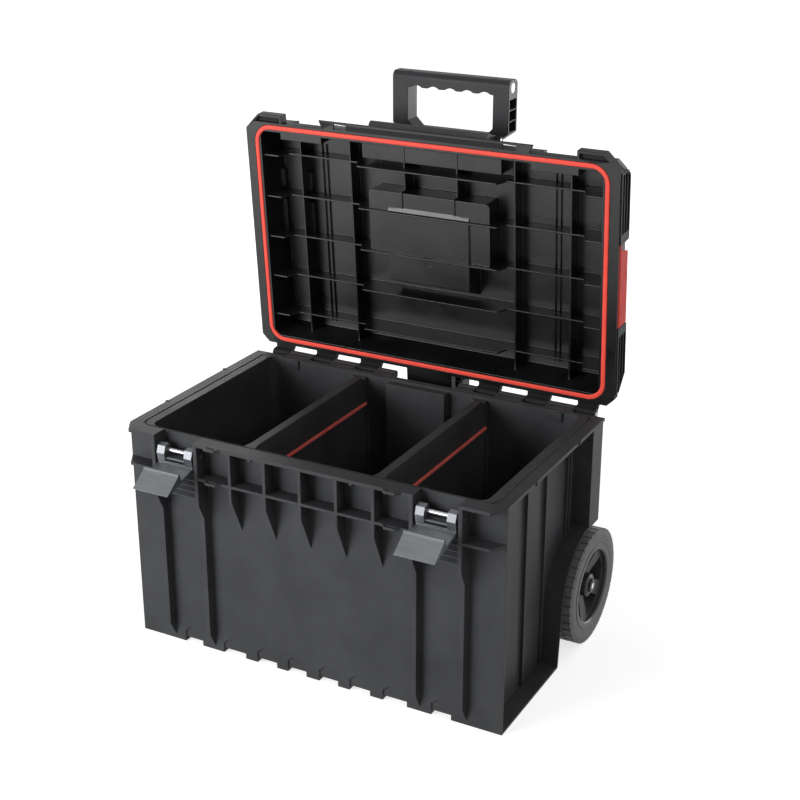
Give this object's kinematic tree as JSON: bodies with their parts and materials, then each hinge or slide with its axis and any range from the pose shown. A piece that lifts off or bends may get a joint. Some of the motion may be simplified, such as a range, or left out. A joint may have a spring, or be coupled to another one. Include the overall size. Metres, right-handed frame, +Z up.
{
  "type": "wheeled storage box",
  "caption": "Black rolling jobsite storage box with a hinged ribbed lid and red seal, front clasps, loose dividers, side wheels and a telescopic pull handle",
  "frame": {"origin": "on the floor under the middle of the tub, half way across the width and half way between the front lip and the back edge of the rim", "axes": "+X to the right as seen from the front, +Y to the back (hinge and handle side), +Z up"},
  "size_m": [0.605, 0.5222, 0.779],
  "materials": {
    "black_plastic": "fine textured moulding",
    "grip_plastic": "fine textured moulding",
    "plug_plastic": "smooth moulding",
    "red_seal": "soft matt strip",
    "red_plastic": "satin moulding",
    "clasp_aluminium": "blasted extrusion",
    "mast_aluminium": "black anodised",
    "steel": "zinc plated",
    "tyre_rubber": "matt tread",
    "rim_plastic": "fine textured moulding"
  },
  "bodies": {
    "box": {"tub": "black_plastic", "divider_left": "black_plastic", "divider_right": "black_plastic", "divider_trim_left": "red_seal", "divider_trim_right": "red_seal", "hinge_rod_left": "steel", "hinge_rod_right": "steel", "clasp_pins": "steel", "axle_left": "steel", "axle_right": "steel", "axle_rings": "steel", "mast_housing": "black_plastic", "housing_screws": "steel"},
    "lid_body": {"lid": "black_plastic", "lid_seal": "red_seal", "catch_pins": "steel", "carry_pins": "steel"},
    "carry_body": {"carry_handle": "black_plastic"},
    "catch_left_body": {"side_catch_left": "red_plastic"},
    "catch_right_body": {"side_catch_right": "red_plastic"},
    "clasp_left_body": {"clasp_left": "clasp_aluminium", "clasp_bar_left": "steel"},
    "clasp_right_body": {"clasp_right": "clasp_aluminium", "clasp_bar_right": "steel"},
    "wheel_left_body": {"tyre_left": "tyre_rubber", "wheel_rim_left": "rim_plastic"},
    "wheel_right_body": {"tyre_right": "tyre_rubber", "wheel_rim_right": "rim_plastic"},
    "mast_body": {"mast_outer": "mast_aluminium", "mast_collar": "black_plastic", "mast_shoe": "black_plastic"},
    "handle_body": {"mast_inner": "mast_aluminium", "pull_grip": "grip_plastic", "grip_plugs": "plug_plastic", "grip_screws": "steel"}
  },
  "joints": [
    {"name": "lid_hinge", "type": "hinge", "parent": "box", "child": "lid_body", "pos_m": [0, 0.193, 0.3305], "axis": [1, 0, 0], "range_deg": [0, 85.7]},
    {"name": "carry_swing", "type": "hinge", "parent": "lid_body", "child": "carry_body", "pos_m": [0, 0.2126, 0.70501], "axis": [-1, 0, 0], "range_deg": [0, 95]},
    {"name": "catch_right_flip", "type": "hinge", "parent": "lid_body", "child": "catch_right_body", "pos_m": [0.294, 0.19198, 0.52497], "axis": [0, 0.0746, -0.9972], "range_deg": [0, 70]},
    {"name": "catch_left_flip", "type": "hinge", "parent": "lid_body", "child": "catch_left_body", "pos_m": [-0.294, 0.19198, 0.52497], "axis": [0, -0.0746, 0.9972], "range_deg": [0, 70]},
    {"name": "clasp_right_flip", "type": "hinge", "parent": "box", "child": "clasp_right_body", "pos_m": [0.202, -0.165, 0.312], "axis": [-1, 0, 0], "range_deg": [0, 102]},
    {"name": "clasp_left_flip", "type": "hinge", "parent": "box", "child": "clasp_left_body", "pos_m": [-0.202, -0.165, 0.312], "axis": [-1, 0, 0], "range_deg": [0, 102]},
    {"name": "wheel_right_spin", "type": "hinge", "parent": "box", "child": "wheel_right_body", "pos_m": [0.2805, 0.137, 0.086], "axis": [1, 0, 0], "continuous": true},
    {"name": "wheel_left_spin", "type": "hinge", "parent": "box", "child": "wheel_left_body", "pos_m": [-0.2805, 0.137, 0.086], "axis": [1, 0, 0], "continuous": true},
    {"name": "mast_slide", "type": "slide", "parent": "box", "child": "mast_body", "axis": [0, 0, 1], "range_m": [-0.186, 0]},
    {"name": "handle_slide", "type": "slide", "parent": "mast_body", "child": "handle_body", "axis": [0, 0, 1], "range_m": [-0.138, 0]}
  ]
}
